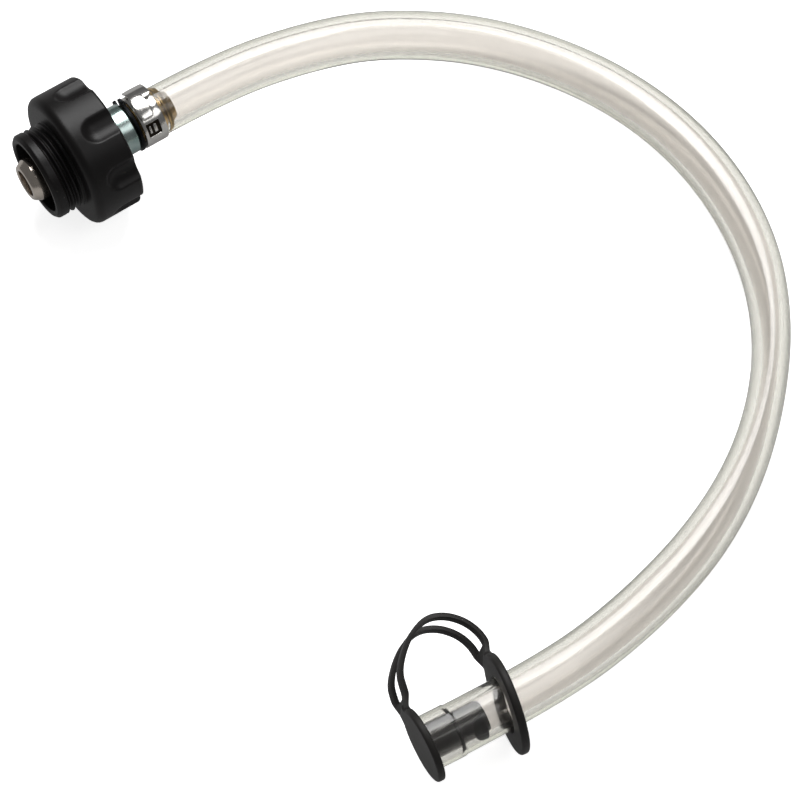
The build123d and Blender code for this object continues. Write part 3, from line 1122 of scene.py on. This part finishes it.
class HOSE_OT_clamp(bpy.types.Operator):
    """Make the crimped clamp: a strip with a window, two hooks, a fold and a tongue"""

    bl_idname = "transfer_hose.clamp"
    bl_label = "Hose clamp"

    def execute(self, context):
        settings = context.scene.hose_fitting
        front, rear = station(CLAMP_LOW.x), station(CLAMP_HIGH.x)
        middle = (front + rear) / 2
        inner, outer = 9.02, 9.9
        window_middle, window_half = math.radians(155), math.radians(17)
        window_front, window_rear = middle - 3.2, middle + 2.0

        # Outer layer of the strip, with the window cut through it.
        bm = bmesh.new()
        marks = [front, window_front, window_rear, rear]
        verts = [bm.verts.new((x, outer, 0)) for x in marks]
        edges = [bm.edges.new(pair) for pair in zip(verts, verts[1:])]
        bmesh.ops.rotate(
            bm, cent=(0, 0, 0), matrix=Matrix.Rotation(window_middle - window_half, 3, "X"), verts=verts
        )
        bmesh.ops.spin(
            bm, geom=verts + edges, axis=(1, 0, 0), cent=(0, 0, 0), steps=120, angle=math.tau, use_merge=True
        )
        cut = []
        for face in bm.faces:
            x, y, z = face.calc_center_median()
            angle = (math.atan2(z, y) - window_middle + math.pi) % math.tau - math.pi
            if window_front < x < window_rear and abs(angle) < window_half:
                cut.append(face)
        bmesh.ops.delete(bm, geom=cut, context="FACES")
        thicken(bm, 0.55)
        soften(bm, 0.14, sharpest=math.radians(50))

        steel = turned_metal("bright_stainless_strip", settings.clamp_colour, 0.16, 0.3, 0.015)
        band = make_piece(bm, "hose_clamp_band", FITTING, steel)
        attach(band, "hose_assembly")
        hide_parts("hose_clamp")

        # Inner layer of strip under the window, coloured dark brown as painted shade on the window's floor.
        inset, sheet = 0.4, 0.3
        outline = [
            (front + inset, inner, 0),
            (front + inset, inner + sheet, 0.1),
            (rear - inset, inner + sheet, 0.1),
            (rear - inset, inner, 0),
        ]
        bm = turned(outline, steps=96)
        # The dark brown is painted shade, not a finish of the steel.
        dark = turned_metal("clamp_window_painted_shade", linear("#2B2620"), 0.4, 0.3, 0.02)
        layer = make_piece(bm, "hose_clamp_inner_layer", FITTING, dark)
        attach(layer, "hose_assembly")

        # Two hooks that stand in the window.
        for name, x, width, low, high in (
            ("hose_clamp_hook_front", middle - 2.1, 0.8, 144, 160),
            ("hose_clamp_hook_rear", middle - 0.1, 1.2, 143, 161),
        ):
            bm = bmesh.new()
            bmesh.ops.create_grid(bm, x_segments=1, y_segments=6, size=0.5)
            for vert in bm.verts:
                share = vert.co.y + 0.5
                vert.co = (x + vert.co.x * width, math.radians(low + (high - low) * share), 0)
            bmesh.ops.recalc_face_normals(bm, faces=bm.faces)
            wrap(bm, 9.75)
            thicken(bm, 0.4)
            soften(bm, 0.12, sharpest=math.radians(50))
            hook = make_piece(bm, name, FITTING, steel)
            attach(hook, "hose_assembly")

        # The end of the strip stands up in a full-width fold, and its tongue closes the band.
        self.make_pad("hose_clamp_fold", steel, outer, (front + 1.2, rear - 0.05), (31, 87), 0.8)
        self.make_pad("hose_clamp_tongue", steel, outer, (front + 0.3, front + 5.5), (76, 125.5), 1.3)
        return {"FINISHED"}

    def make_pad(self, name, steel, outer, stations, angles, height):
        """A raised pad of strip between two stations and two angles round the band, with steep ends."""
        centre, half_width = sum(stations) / 2, (stations[1] - stations[0]) / 2
        middle, half_angle = math.radians(sum(angles) / 2), math.radians(angles[1] - angles[0]) / 2
        bm = bmesh.new()
        bmesh.ops.create_grid(bm, x_segments=12, y_segments=48, size=1.0)
        for vert in bm.verts:
            along = math.sin(vert.co.y * math.pi / 2)
            narrow = max(1 - abs(along) ** 12, 0.3) ** 0.5
            crown = 1 - 0.12 * vert.co.x**4
            rise = height * smooth_step(1 - abs(along), -0.02, 0.1) * crown
            vert.co = (centre + vert.co.x * half_width * narrow, middle + along * half_angle, rise)
        wrap(bm, outer + 0.12)
        thicken(bm, 0.7)
        soften(bm, 0.2, sharpest=math.radians(50))
        pad = make_piece(bm, name, FITTING, steel)
        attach(pad, "hose_assembly")


# ---------------------------------------------------------------- panel and registration

STEPS = (
    HOSE_OT_stage,
    HOSE_OT_plug,
    HOSE_OT_ring,
    HOSE_OT_strap,
    HOSE_OT_hose,
    HOSE_OT_knob,
    HOSE_OT_nipple,
    HOSE_OT_tail,
    HOSE_OT_collar,
    HOSE_OT_clamp,
)


class HOSE_PT_panel(bpy.types.Panel):
    """Sizes, colours and steps of the transfer hose"""

    bl_idname = "HOSE_PT_panel"
    bl_label = "Transfer hose"
    bl_space_type = "VIEW_3D"
    bl_region_type = "UI"
    bl_category = "Transfer hose"

    def draw(self, context):
        for name, group in GROUPS.items():
            box = self.layout.box()
            box.label(text=group.__doc__)
            for setting in group.__annotations__:
                box.prop(getattr(context.scene, name), setting)
        for step in STEPS:
            self.layout.operator(step.bl_idname)


def register():
    """Add the settings, the operators and the panel."""
    for name, group in GROUPS.items():
        bpy.utils.register_class(group)
        setattr(bpy.types.Scene, name, PointerProperty(type=group))
    for step in STEPS:
        bpy.utils.register_class(step)
    bpy.utils.register_class(HOSE_PT_panel)


def unregister():
    """Remove the panel, the operators and the settings."""
    bpy.utils.unregister_class(HOSE_PT_panel)
    for step in reversed(STEPS):
        bpy.utils.unregister_class(step)
    for name, group in reversed(GROUPS.items()):
        delattr(bpy.types.Scene, name)
        bpy.utils.unregister_class(group)


def main():
    """Make every piece."""
    register()
    bpy.ops.transfer_hose.stage()
    bpy.ops.transfer_hose.plug()
    bpy.ops.transfer_hose.ring()
    bpy.ops.transfer_hose.strap()
    bpy.ops.transfer_hose.hose()
    bpy.ops.transfer_hose.knob()
    bpy.ops.transfer_hose.nipple()
    bpy.ops.transfer_hose.tail()
    bpy.ops.transfer_hose.collar()
    bpy.ops.transfer_hose.clamp()


if __name__ == "__main__":
    main()
